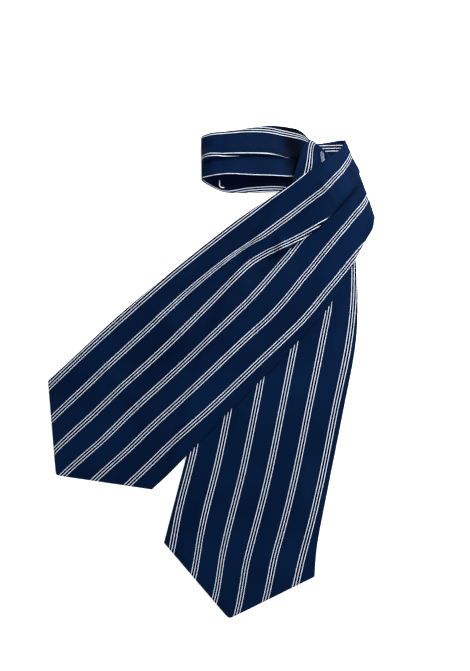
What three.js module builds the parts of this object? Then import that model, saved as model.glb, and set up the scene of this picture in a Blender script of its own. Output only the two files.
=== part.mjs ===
// A pinstriped day cravat laid flat on a table, folded as it is put away.
// Millimetres, +Z up, the table at z = 0. One closed cloth wall for each stretch that shows.
import * as THREE from 'three';

// Driving dimensions of the cloth.
const bladeWall = 1.6;       // a blade: silk, its own facing and the light interlining between them
const neckWall = 2.2;        // where the pleated neck lies pressed flat
const pleatAir = 0.5;        // air between the plies of an open pleat
const seamGap = 0.3;         // between two stretches that are sewn end to end
const layGap = 0.45;         // between a panel and the panel that it lies on
const frontPoint = 57.3;     // from the shoulders of the front blade to its point
const backPoint = 55.2;      // the same on the back blade
const pointRounding = 0.018; // how soft the point and the shoulders are, as a share of half the width
const climbRun = 12;         // cloth in which a panel climbs over the edge of the one below
const climbAhead = 9;        // how far before that edge it has done so
const pleatLead = 15;        // cloth in which the upper ply climbs onto the pleat
const usualCuts = 4;         // slices from one section to the next where a section names no other
const foldSlices = 5;        // flat facets round one fold of a pleat
const tangentReach = 0.04;   // how far each way, in section numbers, the run of the cloth is read
const edgeSamples = 200;     // places along the back blade's edge that the front blade can look up
const tableSnap = 0.12;      // an underside this close to the table lies on it

// The laid cravat is centred over its origin by moving every section by this much.
const toCentre = new THREE.Vector3(21.7, 25.6, 0);

const navy = { color: 0x0c1e3e, roughness: 0.62, metalness: 0 };
const deepNavy = { color: 0x0a1a36, roughness: 0.66, metalness: 0 };

// Sections that two stretches share. Each section is a straight ruling from the left edge to the
// right edge of the cloth, seen from its show side and going from the front point to the back point.
const turnSeam = { left: [111, 211.6, 0.8], right: [139.5, 129.6, 0.8], cuts: 2, along: [-1, 0.15, 0] };
const bendSeam = { left: [-12, 208, 0.8], right: [-12, 154, 0.8], cuts: 2, along: [-1, 0, 0] };
const crossSeam = { left: [80.8, 213.2, 6.8], right: [116, 166, 6.4], cuts: 3, along: [0, 0, 1] };

// A pleat with its three plies flat on each other, and one that is just opening.
const deepPleat = (tuck) => ({ tuck, turn: 180 });
const openingPleat = { tuck: 1, turn: 80 };

// Column names: left and right are the ends of the section, cuts the slices up to the next section,
// wall the thickness, point how far the middle hangs past the ends, lies how much of the section
// lies on the back blade, crown the height of the middle above the ends, fold where the pleat's edge
// runs as a share of the width, tuck the hidden cloth in it and turn the degrees it is folded by.
const frontBladeSections = [
  { left: [-190, -46.9, 0.8], right: [-82.4, -155, 0.8], cuts: 3, lies: 1, point: frontPoint },
  { left: [-167.7, -25.4, 0.8], right: [-60.1, -134, 0.8], lies: 1, point: 43 },
  { left: [-117, 22.8, 0.8], right: [-11.1, -82.9, 0.8], cuts: 5, lies: 1, point: 12 },
  { left: [-57.3, 73.2, 0.8], right: [41.7, -30.4, 0.8], lies: 1, fold: 0.52 },
  { left: [-9.4, 112.9, 1.4], right: [77.9, 8.4, 0.8], cuts: 3, lies: 1, crown: 0.8, fold: 0.36, turn: 12 },
  { left: [9.6, 125.8, 2.8], right: [91, 22.6, 0.8], lies: 1, crown: 1, fold: 0.4, ...openingPleat },
  { left: [26.2, 136.5, 4.5], right: [101.1, 36.6, 0.9], lies: 1, crown: 1.2, fold: 0.44, ...deepPleat(8) },
  { left: [57.5, 156.6, 9], right: [116.1, 63, 2.9], lies: 0.4, crown: 2.8, fold: 0.48, ...deepPleat(13) },
  { left: [91.2, 182.2, 12], right: [135.2, 97.8, 4.4], crown: 4.4, fold: 0.5, ...deepPleat(17) },
  { left: [109, 195.6, 9.8], right: [143.2, 111, 6.3], crown: 2.2, fold: 0.45, ...deepPleat(4) },
  { left: [114.6, 203.6, 7.6], right: [145.2, 119.6, 5.6], cuts: 3, crown: 0.8, fold: 0.43, turn: 30 },
  { left: [118, 208.6, 4.6], right: [145.8, 126, 3.8], cuts: 3, fold: 0.43 },
  turnSeam,
];

const neckbandUnderSections = [
  { ...turnSeam, cuts: 3 },
  { left: [88.8, 207.3, 1.1], right: [105.6, 139.3, 1.1], cuts: 3, wall: neckWall },
  { left: [53.5, 206.2, 1.1], right: [52.9, 153.3, 1.1], cuts: 3, wall: neckWall },
  { left: [16.1, 206.8, 1.1], right: [15.9, 152.6, 1.1], cuts: 3, wall: neckWall },
  bendSeam,
];

const neckbandOverSections = [
  bendSeam,
  { left: [-26, 209.6, 1.3], right: [-25.6, 160, 1.3], cuts: 3 },
  { left: [-35.6, 211.4, 7.8], right: [-34.6, 164.8, 7.8], turn: 10 },
  { left: [-27, 213.4, 14], right: [-26, 165.8, 14], cuts: 3, fold: 0.6, tuck: 2, turn: 160 },
  { left: [-8, 216, 13.4], right: [-8, 168.2, 13.8], fold: 0.6, ...deepPleat(4) },
  { left: [16, 221.2, 10.4], right: [15.8, 168.1, 11.2], cuts: 3, fold: 0.585, ...deepPleat(4) },
  { left: [37.2, 225, 7.6], right: [38, 168.5, 8.4], cuts: 3, fold: 0.595, tuck: 3, turn: 165 },
  { left: [56.5, 224.8, 5], right: [66, 168.8, 5.4], fold: 0.6, turn: 60 },
  { left: [67.4, 222.4, 4.2], right: [84, 168.4, 4.2], cuts: 3, fold: 0.6 },
  { left: [74, 217.2, 4.2], right: [99, 167, 4.2], cuts: 3, fold: 0.54 },
  { left: [78.5, 212.8, 4.3], right: [113.4, 164.4, 4.2], cuts: 3, fold: 0.54 },
  crossSeam,
];

const backBladeSections = [
  crossSeam,
  { left: [78.4, 211.6, 9.2], right: [113.7, 163.6, 8.5] },
  { left: [67, 176, 9.2], right: [118, 149, 7.2], wall: neckWall },
  { left: [52.4, 134, 5.2], right: [121.5, 114, 3.6], cuts: 3, wall: neckWall },
  { left: [33, 98, 1.1], right: [125, 78, 0.95], cuts: 3, wall: 1.9 },
  { left: [8.3, 52.9, 0.8], right: [126.9, 37, 0.8], cuts: 3 },
  { left: [-13.3, 0.4, 0.8], right: [122.8, -8.4, 0.8] },
  { left: [-32.4, -61.2, 0.8], right: [108.8, -78.3, 0.8] },
  { left: [-49, -124.1, 0.8], right: [92.2, -155, 0.8], point: 10 },
  { left: [-62.7, -177.7, 0.8], right: [80.6, -210, 0.8], cuts: 3, point: 42 },
  { left: [-69.8, -206.2, 0.8], right: [77.6, -238.3, 0.8], cuts: 1, point: backPoint },
];

const columnDefaults = { wall: bladeWall, point: 0, lies: 0, crown: 0, fold: 0.5, tuck: 0, turn: 0 };

// The value of one column at section number t, eased from each section to the next.
function columnAt(sections, name, t) {
  const first = Math.min(Math.floor(t), sections.length - 2);
  const share = THREE.MathUtils.smoothstep(t - first, 0, 1);
  const valueOf = (section) => section[name] ?? columnDefaults[name];
  return THREE.MathUtils.lerp(valueOf(sections[first]), valueOf(sections[first + 1]), share);
}

// The places along the cloth where it is sliced, as section numbers.
function sliceNumbers(sections) {
  const numbers = [];
  sections.slice(0, -1).forEach((section, index) => {
    const { cuts = usualCuts } = section;
    for (let cut = 0; cut < cuts; cut += 1) numbers.push(index + cut / cuts);
  });
  return [...numbers, sections.length - 1];
}

function edgeCurve(sections, side) {
  const points = sections.map((section) => new THREE.Vector3(...section[side]).add(toCentre));
  return new THREE.CatmullRomCurve3(points, false, 'centripetal');
}

// Each slice of the cloth: its left end, its across, along and outward directions, and its columns.
function slices(sections, seams) {
  const leftCurve = edgeCurve(sections, 'left');
  const rightCurve = edgeCurve(sections, 'right');
  const last = sections.length - 1;
  const middleAt = (t) => leftCurve.getPoint(t / last).lerp(rightCurve.getPoint(t / last), 0.5);
  return sliceNumbers(sections).map((t) => {
    const along = sections[t]?.along
      ? new THREE.Vector3(...sections[t].along).normalize()
      : middleAt(Math.min(t + tangentReach, last)).sub(middleAt(Math.max(t - tangentReach, 0))).normalize();
    const left = leftCurve.getPoint(t / last);
    const right = rightCurve.getPoint(t / last);
    if (t === 0 && seams.start) [left, right].forEach((end) => end.addScaledVector(along, seamGap / 2));
    if (t === last && seams.end) [left, right].forEach((end) => end.addScaledVector(along, -seamGap / 2));
    const across = right.clone().sub(left);
    const width = across.length();
    across.normalize();
    const outward = across.clone().cross(along).normalize();
    const columns = {};
    for (const name of Object.keys(columnDefaults)) columns[name] = columnAt(sections, name, t);
    return { left, across, along, outward, width, ...columns };
  });
}

// The line of the cloth in one slice, from the left edge to the right edge, as steps across and
// steps outward: the left ply climbs, folds under itself, runs back and folds out again.
function pleatLine(slice, plies) {
  const radius = (slice.wall + pleatAir) / 2;
  const turn = THREE.MathUtils.degToRad(slice.turn);
  const rise = 2 * radius * (1 - Math.cos(turn)) + slice.tuck * Math.sin(turn);
  const outerEdge = slice.fold * slice.width;
  const firstFold = outerEdge - radius * Math.sin(Math.min(turn, Math.PI / 2));
  const secondFold = firstFold + radius * Math.sin(turn) + slice.tuck * Math.cos(turn);
  const lowerPly = secondFold + radius * Math.sin(turn);
  const level = Math.min(firstFold, lowerPly - radius);
  const line = [];
  for (let step = 0; step < plies.left; step += 1) {
    const across = (firstFold * step) / plies.left;
    const climb = THREE.MathUtils.smoothstep(across, level - pleatLead, level);
    line.push({ across, outward: rise * climb, heading: 0 });
  }
  for (let step = 0; step <= foldSlices; step += 1) {
    const heading = (turn * step) / foldSlices;
    const outward = rise - radius * (1 - Math.cos(heading));
    line.push({ across: firstFold + radius * Math.sin(heading), outward, heading });
  }
  for (let step = 0; step <= foldSlices; step += 1) {
    const heading = turn * (1 - step / foldSlices);
    const across = secondFold + radius * (Math.sin(turn) - Math.sin(heading));
    line.push({ across, outward: radius * (1 - Math.cos(heading)), heading });
  }
  for (let step = 1; step <= plies.right; step += 1) {
    const across = THREE.MathUtils.lerp(lowerPly, slice.width, step / plies.right);
    line.push({ across, outward: 0, heading: 0 });
  }
  return line;
}

function plainLine(slice, plies) {
  const line = [];
  for (let step = 0; step <= plies.flat; step += 1) {
    line.push({ across: (slice.width * step) / plies.flat, outward: 0, heading: 0 });
  }
  return line;
}

// How far the middle of a blade hangs past its shoulders, at a share of the width.
function pointShare(share) {
  const fromMiddle = 2 * share - 1;
  const rounded = (across) => Math.hypot(across, pointRounding);
  return (rounded(1) - rounded(fromMiddle)) / (rounded(1) - rounded(0));
}

const backLeftEdge = edgeCurve(backBladeSections, 'left').getPoints(edgeSamples);

// The rise of the front blade where it climbs over the left edge of the back blade.
function riseOverBack(x, y) {
  const nearest = backLeftEdge.reduce((best, point) => (
    Math.abs(point.y - y) < Math.abs(best.y - y) ? point : best));
  const fullRise = nearest.x - climbAhead;
  return (bladeWall + layGap) * THREE.MathUtils.smoothstep(x, fullRise - climbRun, fullRise);
}

// The middle surface of a stretch and its outward directions, as rows of points.
function middleSurface(sections, plies, seams) {
  return slices(sections, seams).map((slice) => {
    const line = plies.flat ? plainLine(slice, plies) : pleatLine(slice, plies);
    return line.map((step) => {
      const share = THREE.MathUtils.clamp(step.across / slice.width, 0, 1);
      const point = slice.left.clone().addScaledVector(slice.across, step.across);
      const crown = slice.crown * 4 * share * (1 - share);
      point.addScaledVector(slice.outward, step.outward + crown);
      const hang = slice.point * pointShare(share) * seams.hangs;
      point.addScaledVector(slice.along, hang);
      point.z += slice.lies * riseOverBack(point.x, point.y);
      const outward = slice.outward.clone().multiplyScalar(Math.cos(step.heading));
      outward.addScaledVector(slice.across, Math.sin(step.heading));
      return { point, outward, wall: slice.wall };
    });
  });
}

// A closed wall: the show side, the inner side and the four edges between them.
function clothWall(rows) {
  const rowLength = rows[0].length;
  const positions = [];
  const addSide = (sign) => rows.forEach((row) => row.forEach(({ point, outward, wall }) => {
    const corner = point.clone().addScaledVector(outward, (sign * wall) / 2);
    const height = corner.z < tableSnap ? 0 : corner.z;
    positions.push(corner.x, corner.y, height);
  }));
  addSide(1);
  addSide(-1);
  const end = rows.length - 1;
  const right = rowLength - 1;
  const show = (row, column) => row * rowLength + column;
  const inner = (row, column) => rows.length * rowLength + show(row, column);
  const triangles = [];
  const quad = (a, b, c, d) => triangles.push(a, b, c, a, c, d);
  for (let row = 0; row < end; row += 1) {
    for (let column = 0; column < right; column += 1) {
      const next = column + 1;
      quad(show(row, column), show(row, next), show(row + 1, next), show(row + 1, column));
      quad(inner(row, column), inner(row + 1, column), inner(row + 1, next), inner(row, next));
    }
    quad(show(row, 0), show(row + 1, 0), inner(row + 1, 0), inner(row, 0));
    quad(show(row, right), inner(row, right), inner(row + 1, right), show(row + 1, right));
  }
  for (let column = 0; column < right; column += 1) {
    const next = column + 1;
    quad(show(0, column), inner(0, column), inner(0, next), show(0, next));
    quad(show(end, column), show(end, next), inner(end, next), inner(end, column));
  }
  const geometry = new THREE.BufferGeometry();
  geometry.setAttribute('position', new THREE.Float32BufferAttribute(positions, 3));
  geometry.setIndex(triangles);
  geometry.computeVertexNormals();
  return geometry;
}

// seams says which ends are sewn to the next stretch, and whether a blade's point hangs
// against (-1) or along (1) the way that the sections run.
function stretch(name, sections, plies, seams, finish) {
  const geometry = clothWall(middleSurface(sections, plies, { hangs: 0, ...seams }));
  const mesh = new THREE.Mesh(geometry, new THREE.MeshStandardMaterial(finish));
  mesh.name = name;
  return mesh;
}

const cravat = new THREE.Group();
cravat.add(
  stretch('front_blade', frontBladeSections, { left: 10, right: 8 }, { end: true, hangs: -1 }, navy),
  stretch('neckband_under', neckbandUnderSections, { flat: 8 }, { start: true, end: true }, deepNavy),
  stretch('neckband_over', neckbandOverSections, { left: 7, right: 6 }, { start: true, end: true }, deepNavy),
  stretch('back_blade', backBladeSections, { flat: 16 }, { start: true, hangs: 1 }, navy),
);

export default cravat;
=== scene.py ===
import math

import bpy
import numpy as np
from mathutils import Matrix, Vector


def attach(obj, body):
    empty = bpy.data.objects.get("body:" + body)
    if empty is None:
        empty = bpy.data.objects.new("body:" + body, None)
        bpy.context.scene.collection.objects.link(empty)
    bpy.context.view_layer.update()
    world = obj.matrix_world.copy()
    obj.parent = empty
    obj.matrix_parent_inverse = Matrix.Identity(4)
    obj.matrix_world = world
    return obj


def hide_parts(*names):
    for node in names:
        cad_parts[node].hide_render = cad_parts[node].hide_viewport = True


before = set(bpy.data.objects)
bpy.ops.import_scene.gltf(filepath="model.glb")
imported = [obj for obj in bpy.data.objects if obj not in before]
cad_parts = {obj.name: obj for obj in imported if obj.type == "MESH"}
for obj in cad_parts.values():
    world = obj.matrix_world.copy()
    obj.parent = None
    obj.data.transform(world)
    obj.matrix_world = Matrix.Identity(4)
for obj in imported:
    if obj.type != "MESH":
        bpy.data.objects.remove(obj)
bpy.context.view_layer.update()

# A pinstriped day cravat laid flat and folded. The tables are in millimetres, x to the right and
# y towards the neckband; every point is moved by toCentre to the part's own frame.
mm = 0.001
toCentre = np.array([21.7, 25.6, 0.0])

silk = {
    "wall": 1.5,          # silk, its facing and the light interlining
    "edgeRound": 0.6,     # the pressed edges are rolled, not cut
    "pitch": 25.5,        # from one triple stripe to the next on the flat cloth
    "lineGap": 0.102,     # from line to line in a triple, as a share of the pitch
}

laying = {
    "pleatAir": 0.2,      # air between the plies of an open pleat
    "pleatLead": 15,      # cloth in which the upper ply climbs onto the pleat
    "layGap": 0.45,       # between a panel and the one it lies on
    "cadWall": 1.6,       # the wall of the part's solids, which the pleats are spaced by
    "climbRun": 12,       # cloth in which the front blade climbs over the back blade's edge
    "climbAhead": 9,      # how far before that edge the climb ends
    "pointRounding": 0.018,  # how blunt the points are, as a share of half the width
    "foldedTurn": 30,     # degrees that a pleat turns before the stripes fold with it
    "gatherTurn": 60,     # degrees at which the mesh's columns have moved into the folds
    "gathered": 0.975,    # the share of the way that they move
    "rowStep": 2.3,       # along the cloth from row to row
    "bendReach": 7,       # extra rows where the cloth turns, as this many mm per radian
    "reach": 0.04,        # how far each way the run of the cloth is read, in sections
    "rowReadings": 30,    # readings in each section for the rows
    "lengthReadings": 20,  # and for the lengths along the cloth
    "edgeReadings": 240,  # readings along the back blade's edge
    "plainFade": (0.3, 0.1),  # in sections, before a plain stretch's start and before its end
    "ribFade": (0.5, 0.5),
    "creaseReach": 3,     # a crease ends this many of its widths away
    "creaseEnds": (-0.1, 0.35),  # the share of its length in which a crease rises at each end
}


# The sections of the cloth. Each is a straight ruling from the left to the right edge, seen from
# the front blade's show side and going from the front point to the back point. A section can say
# how far the point hangs past it, how much of it lies on the back blade, how high it is crowned,
# where the pleat folds as a share of the width, and how deep it tucks and how far it turns.
sectionDefaults = {
    "point": 0, "lies": 0, "crown": 0, "fold": 0.5, "tuck": 0, "turn": 0, "fan": 1, "open": 1,
}
deepPleat = {"turn": 180}

frontBlade = {
    "left columns": 58, "fold columns": 7, "tuck columns": 5, "right columns": 52,
    "sections": [
        {"left": (-190, -46.9, 0.8), "right": (-82.4, -155, 0.8), "lies": 1, "point": 57.3},
        {"left": (-167.7, -25.4, 0.8), "right": (-60.1, -134, 0.8), "lies": 1, "point": 43},
        {"left": (-117.3, 23.2, 0.8), "right": (-11.1, -82.9, 0.8), "lies": 1, "point": 12},
        {"left": (-57.9, 74, 0.8), "right": (41.7, -30.4, 0.8), "lies": 1, "fold": 0.52},
        {"left": (-9.8, 113.5, 1.4), "right": (77.9, 8.4, 0.8), "lies": 1, "crown": 0.8, "fold": 0.36,
         "turn": 12},
        {"left": (8.6, 127.2, 2.8), "right": (91, 22.6, 0.8), "lies": 1, "crown": 1, "fold": 0.408,
         "tuck": 1, "turn": 80},
        {"left": (25, 138.1, 4.5), "right": (101.1, 36.6, 0.9), "lies": 1, "crown": 1.2, "fold": 0.451,
         "tuck": 8, **deepPleat},
        {"left": (56.7, 157.7, 9), "right": (116.1, 63, 2.9), "lies": 0.4, "crown": 2.8, "fold": 0.485,
         "tuck": 13, **deepPleat},
        {"left": (91.2, 182.2, 12), "right": (135.2, 97.8, 4.4), "crown": 4.4, "fold": 0.5,
         "tuck": 17, **deepPleat},
        {"left": (109, 195.6, 9.8), "right": (143.2, 111, 6.3), "crown": 2.2, "fold": 0.446,
         "tuck": 4, **deepPleat},
        {"left": (114.6, 203.6, 7.6), "right": (145.2, 119.6, 5.6), "crown": 1.6, "fold": 0.43,
         "tuck": 1, "turn": 130},
        {"left": (117, 210, 4.6), "right": (145.8, 126, 3.8), "crown": 1.2, "fold": 0.425, "turn": 75},
        {"left": (114.4, 211.8, 0.8), "right": (142, 129.6, 0.8), "fold": 0.43},
    ],
    # Where the middles of the six triples lie at a place along the blade: three from the left edge
    # and three from the right edge, in mm of cloth. Some are folded away in the pleat. close tells
    # how near the second triple's lines come together where the cloth rolls down into the hollow.
    "stripes": [
        {"at": 0, "left": (5.1, 31.2, 56.6), "right": (19.9, 46.0, 71.1), "close": 1},
        {"at": 1, "left": (4.4, 30.6, 56.2), "right": (20.2, 45.8, 71.0), "close": 1},
        {"at": 2, "left": (4.6, 30.8, 57.3), "right": (15.3, 41.7, 67.3), "close": 1},
        {"at": 3, "left": (2.4, 26.9, 51), "right": (13.7, 40.5, 66.6), "close": 0.85},
        {"at": 3.5, "left": (2.4, 26.9, 47.7), "right": (12.2, 38.4, 65.8), "close": 0.72},
        {"at": 4, "left": (2.5, 28.1, 46), "right": (11.1, 38.7, 66.7), "close": 0.6},
        {"at": 4.5, "left": (2.4, 29.3, 47.4), "right": (11.5, 39.5, 67.5), "close": 0.75},
        {"at": 5, "left": (2.2, 30.3, 49.1), "right": (11.9, 40.3, 67.9), "close": 0.92},
        {"at": 5.5, "left": (1.8, 30.2, 51.3), "right": (11.8, 40.2, 67.4), "close": 1},
        {"at": 6, "left": (1, 29.6, 52.1), "right": (11.2, 39.2, 67), "close": 1},
        {"at": 6.5, "left": (-0.2, 28.2, 53.3), "right": (8.8, 37.6, 65.6), "close": 1},
        {"at": 7, "left": (-1.2, 26.5, 54), "right": (5.9, 35.1, 61.3), "close": 1},
        {"at": 7.4, "left": (-2.2, 26, 54.6), "right": (3, 32.3, 57.2), "close": 1},
        {"at": 7.7, "left": (-3.6, 25.7, 53), "right": (0.3, 29.7, 54.8), "close": 1},
        {"at": 7.8, "left": (-4.2, 24.8, 52.3), "right": (-0.5, 29.1, 54.4), "close": 1},
        {"at": 8, "left": (-5, 23.2, 52), "right": (-2.6, 28.2, 54), "close": 1},
        {"at": 8.5, "left": (-7, 20.7, 51), "right": (-5, 27.5, 53.5), "close": 1},
        {"at": 9, "left": (-9, 18.1, 50), "right": (-6, 26.8, 53), "close": 1},
        {"at": 10, "left": (-10, 17.2, 49), "right": (-8, 24.5, 51), "close": 1},
        {"at": 12, "left": (-10, 17.2, 49), "right": (-10, 21.8, 48.5), "close": 1},
    ],
    "shut pleat": 5.4,    # with less cloth than this from the third triple to the fourth
    "clear of triples": 0.14,  # how near to a hidden triple's number the cloth at the fold comes
    "fold line": 0.2,     # half of the cloth in which the number steps at the fold
    # no stripe shows in the shut pleat here, and the third triple slips into it line by line
    "plain": [{"from": 7.4, "to": 12.5, "numbers": (2.93, 4.4)},
              {"from": 7.75, "to": 12.5, "numbers": (2.6, 4.4)}],
    # painted shade where less light reaches the silk: in the hollow where the pleat begins, beside the
    # pressed pleat, and along the middle of the blade
    "paintedShades": [{"places": (3, 6), "from": (52, 92), "to": (22, 62), "wide": 8, "high": 0.3},
                {"places": (7.3, 11), "from": (99, 122), "to": (134, 162), "wide": 1.8, "high": 0.75},
                {"places": (0.4, 6), "from": (-105, -52), "to": (40, 72), "wide": 24, "high": 0.26}],
    "ribbed": (0, 0),     # no lengthwise ribs show
}

neckAndBack = {
    "left columns": 32, "fold columns": 7, "tuck columns": 3, "right columns": 30,
    # stripes: the stripe number at the left and at the right edge. triples: where the first three
    # triples' middles lie, two from the left edge and the third from the right edge, in mm of cloth.
    # open and fan: how far the first and the second triple's lines spread there.
    "sections": [
        {"left": (114.4, 211.8, 0.8), "right": (142, 129.6, 0.8), "triples": (9.6, 33.5, 2.8),
         "open": 1.25},
        {"left": (88.8, 207.3, 1.1), "right": (105.6, 139.3, 1.1), "triples": (5.5, 30.3, 2.8),
         "open": 1.25},
        {"left": (53.5, 206.2, 1.1), "right": (52.9, 153.3, 1.1), "triples": (5, 28, 2.8)},
        {"left": (16.1, 206.8, 1.1), "right": (15.9, 152.6, 1.1), "triples": (5, 28, 2.8)},
        {"left": (-12, 208, 0.8), "right": (-12, 154, 0.8), "triples": (1.3, 27, -1.8)},
        {"left": (-26, 209.6, 1.3), "right": (-25.6, 160, 1.3), "triples": (-1, 26, -1.8)},
        {"left": (-35.6, 211.4, 7.8), "right": (-34.6, 164.8, 7.8), "turn": 10, "fold": 0.62,
         "triples": (-1, 26, -1.8)},
        {"left": (-27, 213.4, 14), "right": (-26, 165.6, 14), "tuck": 1.4, "turn": 160, "fold": 0.615,
         "triples": (-0.6, 27, -1.8)},
        {"left": (-8, 216, 13.4), "right": (-8, 168.2, 13.8), "tuck": 4, "fold": 0.6, **deepPleat,
         "triples": (-0.4, 28.7, -1.8)},
        {"left": (16, 221.2, 10.4), "right": (15.8, 168.1, 11.2), "tuck": 4, "fold": 0.585, **deepPleat,
         "triples": (1.8, 32.6, -1.8)},
        {"left": (37.2, 225, 7.6), "right": (38, 168.5, 8.4), "fold": 0.595, "tuck": 3, "turn": 165,
         "triples": (5.5, 36, -1.8)},
        {"left": (56.5, 224.8, 4), "right": (66, 168.4, 4.4), "fold": 0.61, "turn": 60,
         "triples": (8.2, 38, -1.8)},
        {"left": (67.4, 222.4, 3.4), "right": (84, 168, 3.4), "fold": 0.6, "triples": (8.8, 36, -1.8)},
        {"left": (74.6, 217.2, 3.4), "right": (99, 167, 3.4), "fold": 0.58, "triples": (7.8, 30, -1.8)},
        {"left": (78.6, 211.2, 3.9), "right": (113.4, 164.4, 4), "fold": 0.58, "triples": (5.8, 20, -1.8)},
        {"left": (81.5, 209.0, 6.6), "right": (116, 166, 6.4), "crown": -3,
         "triples": (3, 16.5, -1.8), "fan": 0.1},
        {"left": (74, 203.5, 9), "right": (113.7, 163.6, 8.5), "triples": (8.6, 28, 0),
         "open": 1.15, "fan": 1.3},
        {"left": (63.4, 174, 9.2), "right": (118, 149, 7.2), "triples": (13.2, 40, 0),
         "open": 1.15, "fan": 2},
        {"left": (52, 134, 5.2), "right": (121.5, 114, 3.6), "triples": (8, 36, 4)},
        {"left": (33, 98, 1.1), "right": (125.9, 78, 0.95), "stripes": (2.4, 6.07)},
        {"left": (8.3, 52.9, 0.8), "right": (126.9, 37, 0.8), "stripes": (1.27, 6.182)},
        {"left": (-13.3, 0.4, 0.8), "right": (123.7, -8.4, 0.8), "stripes": (1.216, 6.265)},
        {"left": (-32.4, -61.2, 0.8), "right": (109.2, -78.3, 0.8), "stripes": (0.92, 6.32)},
        {"left": (-49, -124.1, 0.8), "right": (92.2, -155, 0.8), "point": 10, "stripes": (0.765, 6.323)},
        {"left": (-62.7, -177.7, 0.8), "right": (80.6, -210, 0.8), "point": 42, "stripes": (0.744, 6.438)},
        {"left": (-69.8, -206.2, 0.8), "right": (77.6, -238.3, 0.8), "point": 55.2,
         "stripes": (0.669, 6.610)},
    ],
    "neck stripes": (0.7, 2.9),  # the numbers at both edges where the neck begins to widen
    "under the pleat": (2.05, 2.135),  # the numbers past the second triple's middle line
    # the second stripe goes into the pleat at the soft bend, and none of it shows at the diagonal fold
    "plain": [{"from": 6.2, "to": 10.5, "numbers": (2.05, 2.5)},
              {"from": 9.7, "to": 15.4, "numbers": (1.95, 2.5)},
              {"from": 10.9, "to": 15.4, "numbers": (1.6, 2.5)}],
    # painted shade where little light reaches the silk: beside the neck, along the band's top edge beside
    # it, and on the lower band inside the loop
    "paintedShades": [{"places": (10, 14.4), "from": (55, 244), "to": (70, 158), "wide": 10.5, "high": 1.0},
                {"places": (9.5, 13.4), "from": (30, 230), "to": (86, 212), "wide": 4.5, "high": 0.7},
                {"places": (1, 5.6), "from": (-52, 161), "to": (110, 163), "wide": 10, "high": 0.6}],
    "ribbed": (0, 17),    # the sections between which the lengthwise ribs show
    "back edge from": 15,  # the section where the back blade's own edge begins
}


def fillIn(piece):
    for section in piece["sections"]:
        for name, value in sectionDefaults.items():
            section.setdefault(name, value)


fillIn(frontBlade)
fillIn(neckAndBack)


def smooth(value, low=0.0, high=1.0):
    share = min(max((value - low) / (high - low), 0.0), 1.0)
    return share * share * (3 - 2 * share)


def cubicThrough(before, start, end, after, gaps, share):
    # one span of a curve whose knots are set apart by gaps
    first, middle, last = gaps
    leaving = (start - before) / first - (end - before) / (first + middle) + (end - start) / middle
    arriving = (end - start) / middle - (after - start) / (middle + last) + (after - end) / last
    leaving, arriving = leaving * middle, arriving * middle
    square, cube = share ** 2, share ** 3
    return (start + leaving * share + (3 * (end - start) - 2 * leaving - arriving) * square
            + (2 * (start - end) + leaving + arriving) * cube)


def curvePoint(points, place):
    # a smooth curve through the points; place counts from the first point
    last = len(points) - 1
    index = min(max(int(place), 0), last - 1)
    start, end = points[index], points[index + 1]
    before = points[index - 1] if index > 0 else 2 * start - end
    after = points[index + 2] if index + 2 <= last else 2 * end - start
    gaps = [math.sqrt(np.linalg.norm(b - a)) for a, b in ((before, start), (start, end), (end, after))]
    return cubicThrough(before, start, end, after, gaps, place - index)


def curveValue(knots, values, at):
    # the same for plain numbers given at distances along the cloth; straight on past both ends
    if at <= knots[0]:
        return values[0] + (values[1] - values[0]) * (at - knots[0]) / (knots[1] - knots[0])
    if at >= knots[-1]:
        return values[-1] + (values[-1] - values[-2]) * (at - knots[-1]) / (knots[-1] - knots[-2])
    index = min(int(np.searchsorted(knots, at, side="right")) - 1, len(knots) - 2)
    gap = knots[index + 1] - knots[index]
    before = values[index - 1] if index > 0 else 2 * values[0] - values[1]
    after = values[index + 2] if index + 2 < len(knots) else 2 * values[-1] - values[-2]
    gapBefore = knots[index] - knots[index - 1] if index > 0 else gap
    gapAfter = knots[index + 2] - knots[index + 1] if index + 2 < len(knots) else gap
    share = (at - knots[index]) / gap
    return cubicThrough(before, values[index], values[index + 1], after, (gapBefore, gap, gapAfter), share)


def edgePoints(piece, side):
    return [np.array(section[side], dtype=float) + toCentre for section in piece["sections"]]


def middleOf(piece, place):
    return (curvePoint(piece["left edge"], place) + curvePoint(piece["right edge"], place)) / 2


def columnAt(piece, name, place):
    sections = piece["sections"]
    index = min(int(place), len(sections) - 2)
    share = smooth(place - index)
    return sections[index][name] * (1 - share) + sections[index + 1][name] * share


def unit(vector):
    return vector / np.linalg.norm(vector)


def sliceAt(piece, place):
    last = len(piece["sections"]) - 1
    behind = middleOf(piece, max(place - laying["reach"], 0))
    ahead = middleOf(piece, min(place + laying["reach"], last))
    left, right = curvePoint(piece["left edge"], place), curvePoint(piece["right edge"], place)
    along, across = unit(ahead - behind), unit(right - left)
    found = {name: columnAt(piece, name, place) for name in sectionDefaults}
    found.update(place=place, left=left, right=right, across=across, along=along,
                 outward=unit(np.cross(across, along)), width=float(np.linalg.norm(right - left)))
    return found


# A pleat seen along the cloth: the left ply climbs, folds under itself, runs back and folds out.
def pleatOf(cut):
    radius = (laying["cadWall"] + laying["pleatAir"]) / 2
    turn = math.radians(cut["turn"])
    outerEdge = cut["fold"] * cut["width"]
    firstFold = outerEdge - radius * math.sin(min(turn, math.pi / 2))
    secondFold = firstFold + radius * math.sin(turn) + cut["tuck"] * math.cos(turn)
    lowerPly = secondFold + radius * math.sin(turn)
    runs = [firstFold, radius * turn, cut["tuck"], radius * turn, cut["width"] - lowerPly]
    return {
        "radius": radius, "turn": turn, "outerEdge": outerEdge,
        "firstFold": firstFold, "secondFold": secondFold, "lowerPly": lowerPly,
        "rise": 2 * radius * (1 - math.cos(turn)) + cut["tuck"] * math.sin(turn),
        "level": min(firstFold, lowerPly - radius), "ends": np.cumsum(runs),
    }


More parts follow.
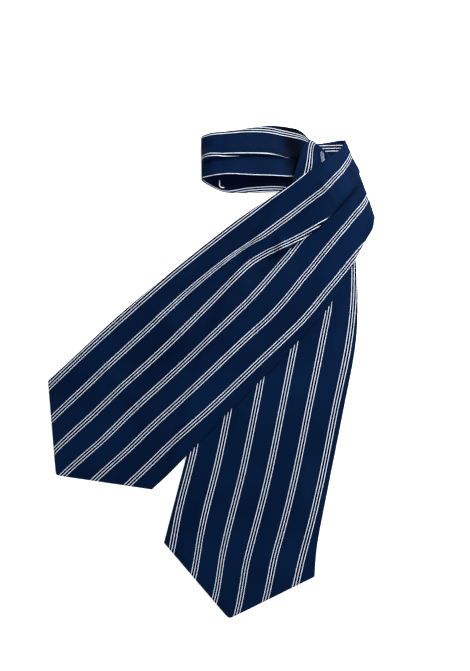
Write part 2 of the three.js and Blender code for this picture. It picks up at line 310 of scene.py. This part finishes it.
def pleatPoint(pleat, run):
    # steps across and outward after this run of cloth from the left edge
    ends, radius, turn = pleat["ends"], pleat["radius"], pleat["turn"]
    if run <= ends[0]:
        return run, pleat["rise"] * smooth(run, pleat["level"] - laying["pleatLead"], pleat["level"])
    if run <= ends[1]:
        heading = (run - ends[0]) / radius
        return (pleat["firstFold"] + radius * math.sin(heading),
                pleat["rise"] - radius * (1 - math.cos(heading)))
    if run <= ends[2]:
        step = run - ends[1]
        top = pleat["rise"] - radius * (1 - math.cos(turn))
        return (pleat["firstFold"] + radius * math.sin(turn) + step * math.cos(turn),
                top - step * math.sin(turn))
    if run <= ends[3]:
        heading = turn - (run - ends[2]) / radius
        return (pleat["secondFold"] + radius * (math.sin(turn) - math.sin(heading)),
                radius * (1 - math.cos(heading)))
    return pleat["lowerPly"] + run - ends[3], 0.0


def columnCounts(piece):
    return [piece[part + " columns"] for part in ("left", "fold", "tuck", "fold", "right")]


def columnRuns(piece, pleat, turnDegrees):
    # where the columns of the mesh lie on the cloth: close together in the folds once there are any,
    # and never two in one place
    starts = np.concatenate([[0.0], pleat["ends"]])
    folded = [starts[part] + (starts[part + 1] - starts[part]) * step / count
              for part, count in enumerate(columnCounts(piece)) for step in range(count)]
    folded.append(starts[-1])
    even = np.linspace(0, starts[-1], len(folded))
    share = laying["gathered"] * smooth(turnDegrees, 0, laying["gatherTurn"])
    return even * (1 - share) + np.array(folded) * share


def pointShare(share):
    # 0 at both edges and 1 at the tip, which is a little rounded
    def rounded(across):
        return math.hypot(across, laying["pointRounding"])
    return (rounded(1) - rounded(2 * share - 1)) / (rounded(1) - rounded(0))


def rowPlaces(piece):
    # rows at even steps along the cloth, closer where it turns
    last = len(piece["sections"]) - 1
    places = np.linspace(0, last, last * laying["rowReadings"] + 1)
    cuts = [sliceAt(piece, place) for place in places]
    steps = [0.0]
    for one, two in zip(cuts, cuts[1:]):
        edges = [np.linalg.norm(two[side] - one[side]) for side in ("left", "right")]
        betweenMeanAndLonger = (sum(edges) / 2 + max(edges)) / 2
        swing = math.acos(min(1.0, float(np.dot(one["outward"], two["outward"]))))
        steps.append(betweenMeanAndLonger + laying["bendReach"] * swing)
    measure = np.cumsum(steps)
    count = round(measure[-1] / laying["rowStep"])
    return np.interp(np.linspace(0, measure[-1], count + 1), measure, places)


def lengthsAlong(piece):
    # the distance along the middle of the cloth at each section
    last = len(piece["sections"]) - 1
    places = np.linspace(0, last, last * laying["lengthReadings"] + 1)
    middles = [middleOf(piece, place) for place in places]
    steps = [np.linalg.norm(end - start) for start, end in zip(middles, middles[1:])]
    return places, np.concatenate([[0], np.cumsum(steps)])


for piece in (frontBlade, neckAndBack):
    piece["left edge"], piece["right edge"] = edgePoints(piece, "left"), edgePoints(piece, "right")
    piece["places"], piece["lengths"] = lengthsAlong(piece)
    piece["knots"] = [float(np.interp(index, piece["places"], piece["lengths"]))
                      for index in range(len(piece["sections"]))]
frontBlade["stripe knots"] = [float(np.interp(row["at"], frontBlade["places"], frontBlade["lengths"]))
                              for row in frontBlade["stripes"]]

backEdge = np.array([curvePoint(neckAndBack["left edge"], place) for place in np.linspace(
    neckAndBack["back edge from"], len(neckAndBack["sections"]) - 1, laying["edgeReadings"])])


def riseOverBack(x, y):
    # the front blade climbs over the left edge of the back blade
    nearest = backEdge[np.argmin(np.abs(backEdge[:, 1] - y))]
    fullRise = nearest[0] - laying["climbAhead"]
    return (laying["cadWall"] + laying["layGap"]) * smooth(x, fullRise - laying["climbRun"], fullRise)


# Soft folds pressed or pushed into the cloth by hand: from one place to another in the frame of the
# tables, how wide and how high in mm. A negative height is a trough. None goes below the table.
frontCreases = [
    {"from": (46, 87), "to": (29, 71), "wide": 4.5, "high": -1.5},      # the hollow where the pleat begins
    {"from": (31, 73), "to": (11, 49), "wide": 6, "high": -1.4},
    {"from": (22, 52), "to": (10, 30), "wide": 5, "high": -0.7},
    {"from": (85, 171), "to": (106, 133), "wide": 3.2, "high": 0.8},    # the ridge across the second stripe
    {"from": (107, 124), "to": (131, 162), "wide": 2.4, "high": -1.4},  # beside the pressed pleat
    {"from": (60, 132), "to": (20, 104), "wide": 6, "high": 0.8},
    {"from": (100, 112), "to": (76, 74), "wide": 5, "high": -0.7},
    {"from": (128, 104), "to": (112, 80), "wide": 6, "high": 0.7},
    {"from": (-20, 88), "to": (34, 28), "wide": 9, "high": 1.0},        # across the blade
    {"from": (-88, 36), "to": (-52, -6), "wide": 8, "high": 0.9},
    {"from": (-140, -24), "to": (-98, -70), "wide": 7, "high": 0.8},
    {"from": (-150, -84), "to": (-116, -112), "wide": 6, "high": 0.6},
]
neckCreases = [
    {"from": (50, 221), "to": (52, 172), "wide": 6, "high": -1.1},      # the band dips under the neck
    {"from": (-13, 212), "to": (-14, 172), "wide": 3.4, "high": -0.7},  # where the bend was pressed
    {"from": (6, 216), "to": (24, 178), "wide": 6, "high": 0.5},
    {"from": (-30, 204), "to": (-24, 172), "wide": 4, "high": 0.6},
    {"from": (98, 203), "to": (124, 150), "wide": 5, "high": 0.5},
    {"from": (88, 196), "to": (72, 172), "wide": 3.5, "high": 0.5},
    {"from": (112, 40), "to": (96, -30), "wide": 6, "high": 0.9},       # along the back blade
    {"from": (30, -70), "to": (12, -150), "wide": 8, "high": 0.8},
    {"from": (70, -110), "to": (64, -190), "wide": 7, "high": 0.7},
    {"from": (-40, -150), "to": (-30, -205), "wide": 7, "high": 0.6},
    {"from": (60, 60), "to": (86, 10), "wide": 9, "high": 0.4},
]


def creaseHeight(creases, x, y):
    height, fade = 0.0, laying["creaseEnds"]
    for crease in creases:
        start, end = np.array(crease["from"], dtype=float), np.array(crease["to"], dtype=float)
        run = end - start
        share = float(np.dot(np.array([x, y]) - toCentre[:2] - start, run) / np.dot(run, run))
        foot = start + run * min(max(share, 0), 1)
        away = math.hypot(x - toCentre[0] - foot[0], y - toCentre[1] - foot[1]) / crease["wide"]
        if away < laying["creaseReach"]:
            endsFade = smooth(share, *fade) * smooth(1 - share, *fade)
            height += crease["high"] * math.exp(-away * away) * endsFade
    return height


def tripleMarks(triples):
    # the outer lines and the middle of each triple as marks on the cloth; the third value is how
    # close together its lines lie
    marks, numbers = [], []
    for number, run, close in triples:
        spread = silk["lineGap"] * silk["pitch"] * close
        marks += [run - spread, run, run + spread]
        numbers += [number - silk["lineGap"], number, number + silk["lineGap"]]
    return marks, numbers


def frontStripes(cut, length, pleat):
    # stripe numbers at marks along one section, as runs from the left edge
    rows, knots = frontBlade["stripes"], frontBlade["stripe knots"]

    def fromEdge(side, index):
        return curveValue(knots, [row[side][index] for row in rows], length)

    close = (1, float(np.interp(length, knots, [row["close"] for row in rows])), 1)
    total, edge = pleat["ends"][-1], pleat["outerEdge"]
    fromLeft = [(index + 1, fromEdge("left", index), close[index]) for index in range(3)]
    fromRight = [(6 - index, total - fromEdge("right", index), 1) for index in (2, 1, 0)]
    if fromRight[0][1] - fromLeft[2][1] > frontBlade["shut pleat"]:
        return tripleMarks(fromLeft + fromRight)
    # the pleat is pressed shut here: the third and fourth triples lie in it and are skipped at its edge
    left, right = tripleMarks(fromLeft[:2]), tripleMarks(fromRight[1:])
    clear, half = frontBlade["clear of triples"], frontBlade["fold line"]
    beforeEdge = min(2 + (edge - fromLeft[1][1]) / silk["pitch"], 3 - clear)
    pastEdge = max(5 - (fromRight[1][1] - edge) / silk["pitch"], 4 + clear)
    return left[0] + [edge - half, edge + half] + right[0], left[1] + [beforeEdge, pastEdge] + right[1]


def neckStripes(cut, length, pleat):
    # the same for the other piece: by triples as far as the neck, by its two edges on the back blade
    sections, knots = neckAndBack["sections"], neckAndBack["knots"]
    total = pleat["ends"][-1]
    banded = [index for index, section in enumerate(sections) if "triples" in section]
    if cut["place"] > banded[-1]:
        bladed = range(banded[-1] + 1, len(sections))
        ends = [curveValue([knots[index] for index in bladed],
                           [sections[index]["stripes"][side] for index in bladed], length)
                for side in (0, 1)]
        share = smooth(cut["place"] - banded[-1])
        return [0, total], [end * share + start * (1 - share)
                            for start, end in zip(neckAndBack["neck stripes"], ends)]
    first, second, third = (curveValue([knots[index] for index in banded],
                                       [sections[index]["triples"][side] for index in banded], length)
                            for side in (0, 1, 2))
    left, right = tripleMarks([(1, first, cut["open"])]), tripleMarks([(3, total - third, 1)])
    if cut["turn"] > laying["foldedTurn"]:
        # the second triple lies at the pleat's edge, and its last line is hidden under it
        spread = silk["lineGap"] * silk["pitch"]
        lower = max(total - (cut["width"] - pleat["outerEdge"]), second + spread)
        marks = [second - spread, second, second + 0.5 * spread, lower]
        numbers = [2 - silk["lineGap"], 2, *neckAndBack["under the pleat"]]
        return left[0] + marks + right[0], left[1] + numbers + right[1]
    middle = tripleMarks([(2, second, cut["fan"])])
    return left[0] + middle[0] + right[0], left[1] + middle[1] + right[1]


def stripeNumber(marks, numbers, run):
    if run < marks[0]:
        return numbers[0] - (marks[0] - run) / silk["pitch"]
    if run > marks[-1]:
        return numbers[-1] + (run - marks[-1]) / silk["pitch"]
    return float(np.interp(run, marks, numbers))


def between(place, start, end, fade):
    # 1 between two places along the cloth, rising before the start and falling before the end
    return smooth(place, start - fade[0], start) * smooth(end - place, 0, fade[1])


def clothPiece(name, piece, hangs, stripesOf, creases):
    # hangs is which way along the sections the point hangs
    places = rowPlaces(piece)
    rows, columns = len(places), sum(columnCounts(piece)) + 1
    bpy.ops.object.select_all(action="DESELECT")
    bpy.ops.mesh.primitive_grid_add(x_subdivisions=columns - 1, y_subdivisions=rows - 1, size=1)
    cloth = bpy.context.object
    cloth.name = cloth.data.name = name
    mesh = cloth.data
    flat = np.empty(len(mesh.vertices) * 3)
    mesh.vertices.foreach_get("co", flat)
    flat = flat.reshape(-1, 3)
    columnOf = np.rint((flat[:, 0] + 0.5) * (columns - 1)).astype(int)
    rowOf = np.rint((flat[:, 1] + 0.5) * (rows - 1)).astype(int)

    points, stripes = np.empty((rows, columns, 3)), np.empty((rows, columns, 2))
    shows = np.ones((rows, columns))
    ribs, shaded = np.zeros((rows, columns)), np.zeros((rows, columns))
    for row, place in enumerate(places):
        cut = sliceAt(piece, place)
        pleat = pleatOf(cut)
        length = float(np.interp(place, piece["places"], piece["lengths"]))
        marks, numbers = stripesOf(cut, length, pleat)
        paintedShades = [paintedShade for paintedShade in piece["paintedShades"]
                   if paintedShade["places"][0] < place < paintedShade["places"][1]]
        for column, run in enumerate(columnRuns(piece, pleat, cut["turn"])):
            across, outward = pleatPoint(pleat, run)
            share = min(max(across / cut["width"], 0), 1)
            hang = cut["point"] * pointShare(share) * hangs
            point = (cut["left"] + cut["across"] * across + cut["along"] * hang
                     + cut["outward"] * (outward + cut["crown"] * 4 * share * (1 - share)))
            if cut["lies"]:
                point[2] += cut["lies"] * riseOverBack(point[0], point[1])
            point[2] = max(point[2] + creaseHeight(creases, point[0], point[1]), silk["wall"] / 2)
            points[row, column] = point * mm
            # how deep the painted shade is here, standing in for shade in hollows and beside raised cloth
            shaded[row, column] = creaseHeight(paintedShades, point[0], point[1])
            if hang:
                marks, numbers = stripesOf(cut, length + hang, pleat)
            stripes[row, column] = stripeNumber(marks, numbers, run), (length + hang) / silk["pitch"]
        for plain in piece["plain"]:
            hidden = between(place, plain["from"], plain["to"], laying["plainFade"])
            lowest, highest = plain["numbers"]
            inside = (stripes[row, :, 0] > lowest) & (stripes[row, :, 0] < highest)
            shows[row, inside] = np.minimum(shows[row, inside], 1 - hidden)
        ribs[row] = between(place, *piece["ribbed"], laying["ribFade"])

    mesh.vertices.foreach_set("co", points[rowOf, columnOf].ravel())
    corners = np.empty(len(mesh.loops), dtype=int)
    mesh.loops.foreach_get("vertex_index", corners)
    layer = mesh.uv_layers[0]
    layer.name = "cloth"
    layer.data.foreach_set("uv", stripes[rowOf[corners], columnOf[corners]].ravel())
    for attribute, values in (("stripesShow", shows), ("ribs", ribs), ("paintedShade", shaded)):
        mesh.attributes.new(attribute, "FLOAT", "POINT").data.foreach_set("value", values[rowOf, columnOf])
    mesh.update()
    return cloth


def finishCloth(cloth):
    bpy.ops.object.select_all(action="DESELECT")
    cloth.select_set(True)
    bpy.context.view_layer.objects.active = cloth
    wall = cloth.modifiers.new("wall", "SOLIDIFY")
    wall.thickness, wall.offset = silk["wall"] * mm, 0
    rolled = cloth.modifiers.new("rolled edge", "BEVEL")
    rolled.width, rolled.segments = silk["edgeRound"] * mm, 2
    rolled.limit_method, rolled.angle_limit = "ANGLE", math.radians(60)
    for modifier in ("wall", "rolled edge"):
        bpy.ops.object.modifier_apply(modifier=modifier)
    bpy.ops.object.shade_smooth()


print("laying the front blade")
front = clothPiece("front_blade_cloth", frontBlade, -1, frontStripes, frontCreases)
finishCloth(front)

print("laying the neckband and the back blade")
neck = clothPiece("neckband_and_back_blade_cloth", neckAndBack, 1, neckStripes, neckCreases)
finishCloth(neck)


# The end of the slip-stitch thread inside the loop: down the lower band and round to the right.
stitch = {
    "thick": 1.1, "sides": 10, "steps": 10,
    "top": (-16.4, 166.8, 3.0), "drop": 5.4, "round": 3.5, "tail": 1.6,
    "plies": 900.0,       # per metre
    "shaded": (0.62, 0.64, 0.68, 1.0), "lit": (0.85, 0.86, 0.88, 1.0),
    "relief": 0.0001, "reliefShare": 0.5, "rough": 0.5, "sheen": 0.2,
}


def stitchThread():
    radius = stitch["thick"] / 2
    start = np.array(stitch["top"]) + toCentre
    bpy.ops.object.select_all(action="DESELECT")
    bpy.ops.mesh.primitive_circle_add(vertices=stitch["sides"], radius=radius * mm, fill_type="NGON",
                                      location=start * mm, rotation=(math.radians(90), 0, 0))
    thread = bpy.context.object
    thread.name = thread.data.name = "slip_stitch_thread"
    bpy.ops.object.transform_apply(location=True, rotation=True, scale=True)
    bpy.ops.object.mode_set(mode="EDIT")
    bpy.ops.mesh.select_all(action="SELECT")
    bpy.ops.mesh.extrude_region_move(TRANSFORM_OT_translate={"value": (0, -stitch["drop"] * mm, 0)})
    centre = start + np.array([stitch["round"], -stitch["drop"], 0])
    bpy.ops.mesh.spin(steps=stitch["steps"], angle=math.radians(-90), center=centre * mm, axis=(0, 0, 1))
    bpy.ops.mesh.extrude_region_move(TRANSFORM_OT_translate={"value": (stitch["tail"] * mm, 0, 0)})
    bpy.ops.mesh.select_all(action="SELECT")
    bpy.ops.mesh.remove_doubles(threshold=1e-6)
    bpy.ops.mesh.normals_make_consistent(inside=False)
    bpy.ops.object.mode_set(mode="OBJECT")
    rounded = thread.modifiers.new("rounded", "SUBSURF")
    rounded.levels = rounded.render_levels = 1
    bpy.ops.object.modifier_apply(modifier="rounded")
    bpy.ops.object.shade_smooth()
    return thread


print("sewing the thread")
thread = stitchThread()


def addNode(tree, kind, inputs=(), **settings):
    node = tree.nodes.new("ShaderNode" + kind)
    for name, value in settings.items():
        setattr(node, name, value)
    for socket, value in dict(inputs).items():
        if isinstance(value, bpy.types.NodeSocket):
            tree.links.new(value, node.inputs[socket])
        else:
            node.inputs[socket].default_value = value
    return node


def sums(tree, operation, first, second=0.0, third=0.0):
    return addNode(tree, "Math", {0: first, 1: second, 2: third}, operation=operation).outputs[0]


def fading(tree, value, start, end, low=1.0, high=0.0):
    # low up to the start, high from the end on, and smooth between
    return addNode(tree, "MapRange", {"Value": value, "From Min": start, "From Max": end,
                                      "To Min": low, "To Max": high},
                   interpolation_type="SMOOTHSTEP").outputs[0]


def blended(tree, share, first, second):
    mix = addNode(tree, "Mix", {0: share, 6: first, 7: second}, data_type="RGBA")
    return mix.outputs[2]


def noise(tree, place, scale, detail, roughness):
    return addNode(tree, "TexNoise", {"Vector": place, "Scale": scale, "Detail": detail,
                                      "Roughness": roughness}).outputs["Fac"]


def newMaterial(name):
    material = bpy.data.materials.new(name)
    material.use_nodes = True
    tree = material.node_tree
    return material, tree, tree.nodes["Principled BSDF"]


# Lengths are shares of the stripes' pitch where no unit is named. Each noise has its scale, detail
# and roughness, and each tone says how much of the lit navy it lets in.
weave = {
    "lineHalf": 0.0083,   # half of one white line's width
    "lineSoft": 0.003,    # how far the line's edge fades
    "darkEnds": 4.5,      # the dark ground of a triple ends this many half widths past its lines
    "darkShare": 0.75,    # how far it goes to that dark
    "twillPitch": 0.62,   # one twill rib, in mm
    "twillSlant": 0.7071,  # at 45 degrees to the stripes
    "ribPitch": 1.75,     # the fine lengthwise ribs that show on the neckband, in mm
    "navy": (0.0003, 0.0037, 0.0165, 1.0),
    "navyLit": (0.0013, 0.0108, 0.0410, 1.0),
    "betweenLines": (0.0002, 0.0008, 0.0035, 1.0),
    # painted shade: the dark navy blended in where less light reaches the silk
    "paintedShadeNavy": (0.0001, 0.0004, 0.0020, 1.0),
    "silver": (0.75, 0.84, 1.0, 1.0),
    "silverShade": (0.36, 0.42, 0.56, 1.0),
    "clouds": (0.4, 1.0, 0.4), "cloudTone": (0.18, 0.52),
    "grain": (22.0, 1.0, 0.5), "grainTone": (-0.12, 0.12),
    "lumps": (240.0, 2.0, 0.6),  # per metre
    "noiseRange": (0.3, 0.7),
    "ribTone": 0.22,
    "floatTone": 0.07,    # how much shade is painted on the silver's floats
    "rough": 0.62, "lineRough": 0.48,
    "twillHigh": 0.22, "lineHigh": 0.8, "ribHigh": 0.9, "lumpHigh": 0.7,
    "reliefShare": 0.45, "relief": 0.00018,  # in metres
    "specular": 0.014, "sheen": 0.015, "sheenRough": 0.45, "sheenTint": (0.20, 0.36, 0.72, 1.0),
}


def threeLines(tree, across, stripesShow):
    # the white lines of each triple, and the dark ground that they lie on
    fromTriple = sums(tree, "PINGPONG", across, 0.5)
    half, soft, gap = weave["lineHalf"], weave["lineSoft"], silk["lineGap"]
    middle = fading(tree, fromTriple, half - soft, half + soft)
    fromOuter = sums(tree, "ABSOLUTE", sums(tree, "SUBTRACT", fromTriple, gap))
    outer = fading(tree, fromOuter, half - soft, half + soft)
    line = sums(tree, "MULTIPLY", sums(tree, "MAXIMUM", middle, outer), stripesShow)
    ground = fading(tree, fromTriple, gap + 2 * half, gap + weave["darkEnds"] * half)
    return line, sums(tree, "MULTIPLY", ground, stripesShow)


def wovenRibs(tree, across, along, ribShare):
    # twill ribs slanting across the lines, the neckband's fine ribs, and the silver's floats
    twillTurns = 2 * math.pi * silk["pitch"] / weave["twillPitch"]
    slanting = sums(tree, "MULTIPLY", sums(tree, "ADD", across, along), twillTurns * weave["twillSlant"])
    twill = sums(tree, "SINE", slanting)
    ribTurns = 2 * math.pi * silk["pitch"] / weave["ribPitch"]
    rib = sums(tree, "SINE", sums(tree, "MULTIPLY", across, ribTurns))
    floats = sums(tree, "SINE", sums(tree, "MULTIPLY", along, twillTurns * 0.5))
    return twill, sums(tree, "MULTIPLY", rib, ribShare), floats


def stripedSilk():
    material, tree, shader = newMaterial("striped silk")
    place = addNode(tree, "UVMap", uv_map="cloth").outputs[0]
    across, along = addNode(tree, "SeparateXYZ", {0: place}).outputs[0:2]
    stripesShow, ribShare, paintedShade = (addNode(tree, "Attribute", attribute_name=name).outputs["Fac"]
                                     for name in ("stripesShow", "ribs", "paintedShade"))
    line, inTriple = threeLines(tree, across, stripesShow)
    twill, rib, floats = wovenRibs(tree, across, along, ribShare)

    clouds = noise(tree, place, *weave["clouds"])
    grain = noise(tree, place, *weave["grain"])
    lumps = noise(tree, addNode(tree, "TexCoord").outputs["Object"], *weave["lumps"])
    shade = sums(tree, "ADD", fading(tree, clouds, *weave["noiseRange"], *weave["cloudTone"]),
                 fading(tree, grain, *weave["noiseRange"], *weave["grainTone"]))
    shade = sums(tree, "MULTIPLY_ADD", rib, weave["ribTone"], shade)
    ground = blended(tree, shade, weave["navy"], weave["navyLit"])
    # painted shade: the navy is painted darker where little light reaches the silk
    ground = blended(tree, paintedShade, ground, weave["paintedShadeNavy"])
    ground = blended(tree, sums(tree, "MULTIPLY", inTriple, weave["darkShare"]), ground,
                     weave["betweenLines"])
    # painted shade on the silver's floats, darker where the sine along the stripe dips
    floatShade = sums(tree, "MULTIPLY_ADD", floats, weave["floatTone"], weave["floatTone"])
    silver = blended(tree, floatShade, weave["silver"], weave["silverShade"])
    tree.links.new(blended(tree, line, ground, silver), shader.inputs["Base Color"])
    roughness = fading(tree, line, 0.0, 1.0, weave["rough"], weave["lineRough"])
    tree.links.new(roughness, shader.inputs["Roughness"])

    height = sums(tree, "MULTIPLY_ADD", twill, weave["twillHigh"],
                  sums(tree, "MULTIPLY", line, weave["lineHigh"]))
    height = sums(tree, "MULTIPLY_ADD", rib, weave["ribHigh"], height)
    height = sums(tree, "MULTIPLY_ADD", lumps, weave["lumpHigh"], height)
    bump = addNode(tree, "Bump", {"Height": height, "Strength": weave["reliefShare"],
                                  "Distance": weave["relief"]})
    tree.links.new(bump.outputs[0], shader.inputs["Normal"])
    shader.inputs["Specular IOR Level"].default_value = weave["specular"]
    shader.inputs["Sheen Weight"].default_value = weave["sheen"]
    shader.inputs["Sheen Roughness"].default_value = weave["sheenRough"]
    shader.inputs["Sheen Tint"].default_value = weave["sheenTint"]
    return material


def silverThread():
    material, tree, shader = newMaterial("silver thread")
    place = addNode(tree, "TexCoord").outputs["Object"]
    ply = addNode(tree, "TexWave", {"Vector": place, "Scale": stitch["plies"], "Distortion": 1.0,
                                    "Detail": 1.0},
                  wave_type="BANDS", bands_direction="DIAGONAL").outputs["Fac"]
    tree.links.new(blended(tree, ply, stitch["shaded"], stitch["lit"]), shader.inputs["Base Color"])
    bump = addNode(tree, "Bump", {"Height": ply, "Strength": stitch["reliefShare"],
                                  "Distance": stitch["relief"]})
    tree.links.new(bump.outputs[0], shader.inputs["Normal"])
    shader.inputs["Roughness"].default_value = stitch["rough"]
    shader.inputs["Sheen Weight"].default_value = stitch["sheen"]
    return material


print("finishing the cloth")
silkMaterial, threadMaterial = stripedSilk(), silverThread()
for piece, material in ((front, silkMaterial), (neck, silkMaterial), (thread, threadMaterial)):
    piece.data.materials.clear()
    piece.data.materials.append(material)

for piece in (front, neck, thread):
    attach(piece, "root")
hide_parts("front_blade")
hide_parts("neckband_under", "neckband_over", "back_blade")


room = {
    "floorWide": 60.0, "floor": (0.93, 0.93, 0.93, 1.0), "floorShade": (0.8, 0.8, 0.8, 1.0),
    "floorGrain": 30.0, "grainShare": 0.03, "floorRough": 0.9, "floorSpecular": 0.1,
    "floorGlow": 0.6, "sky": 0.38, "white": (1.0, 1.0, 1.0, 1.0),
    "key": {"at": (0.45, 0.62, 0.45), "wide": 0.32, "power": 10.8},
    "fill": {"at": (-0.75, 0.25, 0.9), "wide": 0.6, "power": 4},
    "side": {"at": (0.85, -0.30, 0.55), "wide": 0.5, "power": 10.5},
}
# In metres above the table and nearer than toCentre, degrees from straight down, and mm of film.
camera = {"above": 0.7408, "below": 0.1173, "tilt": 9, "lens": 39.165, "film": 36}


def softLight(name, light):
    bpy.ops.object.light_add(type="AREA", location=light["at"])
    lamp = bpy.context.object
    lamp.name, lamp.data.size, lamp.data.energy = name, light["wide"], light["power"]
    lamp.rotation_euler = (-Vector(light["at"])).to_track_quat("-Z", "Y").to_euler()


def setStage():
    bpy.ops.object.select_all(action="DESELECT")
    bpy.ops.mesh.primitive_plane_add(size=room["floorWide"])
    floor = bpy.context.object
    floor.name = "floor"
    material, tree, shader = newMaterial("pale table")
    place = addNode(tree, "TexCoord").outputs["Object"]
    grain = addNode(tree, "TexNoise", {"Vector": place, "Scale": room["floorGrain"]}).outputs["Fac"]
    tone = blended(tree, sums(tree, "MULTIPLY", grain, room["grainShare"]), room["floor"],
                   room["floorShade"])
    tree.links.new(tone, shader.inputs["Base Color"])
    shader.inputs["Roughness"].default_value = room["floorRough"]
    shader.inputs["Specular IOR Level"].default_value = room["floorSpecular"]
    shader.inputs["Emission Color"].default_value = room["white"]
    shader.inputs["Emission Strength"].default_value = room["floorGlow"]
    floor.data.materials.append(material)
    world = bpy.data.worlds.new("studio")
    world.use_nodes = True
    sky = world.node_tree.nodes["Background"]
    sky.inputs[0].default_value, sky.inputs[1].default_value = room["white"], room["sky"]
    bpy.context.scene.world = world
    for light in ("key", "fill", "side"):
        softLight(light, room[light])
    bpy.context.scene.view_settings.view_transform = "Standard"


def setCamera():
    at = (toCentre[0] * mm, toCentre[1] * mm - camera["below"], camera["above"])
    bpy.ops.object.camera_add(location=at, rotation=(math.radians(camera["tilt"]), 0, 0))
    lens = bpy.context.object.data
    lens.lens, lens.sensor_width, lens.sensor_fit = camera["lens"], camera["film"], "AUTO"
    bpy.context.scene.camera = bpy.context.object


print("setting the stage and the camera")
setStage()
setCamera()
